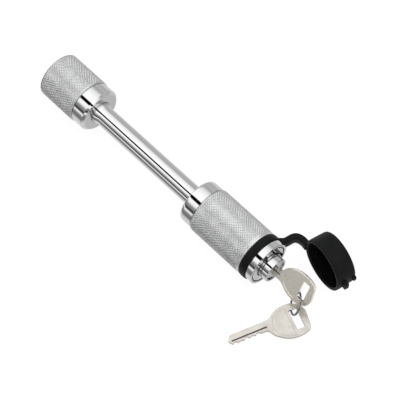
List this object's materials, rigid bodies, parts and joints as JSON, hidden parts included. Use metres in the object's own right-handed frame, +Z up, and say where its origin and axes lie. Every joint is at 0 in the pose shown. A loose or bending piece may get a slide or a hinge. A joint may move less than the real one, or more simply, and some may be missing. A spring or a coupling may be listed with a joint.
{
  "type": "hitch pin lock",
  "caption": "Dumbbell hitch pin lock: chrome shank with a knurled head, a knurled key-lock barrel on its end, a rubber dust cap on a strap, and keys on a wire ring.",
  "frame": {"origin": "centre of the footprint, on the surface the lock lies on", "axes": "+X along the shank from the fixed head to the lock face, +Z up from the surface"},
  "size_m": [0.2828, 0.1032, 0.0411],
  "materials": {
    "chrome": "mirror-bright chrome plate",
    "knurled_steel": "fine knurl, satin chrome; plain neck bright",
    "hardened_steel": "ground and hardened",
    "brass": "turned, nickel plated at the face",
    "wire": "bright drawn wire",
    "nickel_key": "stamped, satin nickel plate",
    "rubber": "moulded, satin black"
  },
  "bodies": {
    "pin": {"pin_shank": "chrome", "head_knob": "knurled_steel"},
    "seal": {"bore_seal": "rubber"},
    "barrel": {"barrel_shell": "knurled_steel", "ball_cage": "hardened_steel", "cylinder_housing": "chrome", "face_plate": "chrome", "retaining_pin": "hardened_steel", "cap_band": "rubber"},
    "plug": {"key_plug": "brass", "tail_clip": "hardened_steel", "drive_cam": "hardened_steel", "wafer_spring_1": "wire", "wafer_spring_2": "wire", "wafer_spring_3": "wire", "wafer_spring_4": "wire", "wafer_spring_5": "wire"},
    "wafers": {"wafer_1": "brass", "wafer_2": "brass", "wafer_3": "brass", "wafer_4": "brass", "wafer_5": "brass"},
    "upper_ball": {"locking_ball_upper": "hardened_steel"},
    "lower_ball": {"locking_ball_lower": "hardened_steel"},
    "key": {"working_key": "nickel_key"},
    "ring": {"key_ring": "wire"},
    "spare": {"spare_key": "nickel_key"},
    "cap": {"dust_cap": "rubber"}
  },
  "joints": [
    {"name": "barrel_slide", "type": "slide", "parent": "pin", "child": "seal", "axis": [1, 0, 0], "range_m": [0, 0.045]},
    {"name": "barrel_spin", "type": "hinge", "parent": "seal", "child": "barrel", "pos_m": [0.02226, 0.00614, 0.01901], "axis": [1, 0, 0], "continuous": true},
    {"name": "plug_turn", "type": "hinge", "parent": "barrel", "child": "plug", "pos_m": [0.07226, 0.00614, 0.01901], "axis": [-1, 0, 0], "range_deg": [0, 90]},
    {"name": "upper_ball_in", "type": "slide", "parent": "barrel", "child": "upper_ball", "axis": [0, 0, -1], "range_m": [0, 0.0024]},
    {"name": "lower_ball_in", "type": "slide", "parent": "barrel", "child": "lower_ball", "axis": [0, 0, 1], "range_m": [0, 0.0024]},
    {"name": "key_slide", "type": "slide", "parent": "plug", "child": "key", "axis": [1, 0, 0], "range_m": [0, 0.038]},
    {"name": "wafer_drop", "type": "slide", "parent": "plug", "child": "wafers", "axis": [0, -0.4051, -0.9143], "range_m": [0, 0.0006]},
    {"name": "ring_swing", "type": "hinge", "parent": "key", "child": "ring", "pos_m": [0.12226, 0.00524, 0.01701], "axis": [0, 0.4051, 0.9143], "range_deg": [-30, 3]},
    {"name": "spare_swing", "type": "hinge", "parent": "ring", "child": "spare", "pos_m": [0.12316, -0.00326, 0.00261], "axis": [0, 0, 1], "range_deg": [-30, 40]},
    {"name": "cap_fold", "type": "hinge", "parent": "barrel", "child": "cap", "pos_m": [0.08666, 0.03674, 0.01901], "axis": [0, 0, 1], "range_deg": [-12, 55]}
  ],
  "couplings": [
    {"joint": "upper_ball_in", "follows": "plug_turn", "m_per_rad": 0.0015279},
    {"joint": "lower_ball_in", "follows": "plug_turn", "m_per_rad": 0.0015279},
    {"joint": "wafer_drop", "follows": "key_slide", "ratio": 0.015789}
  ]
}
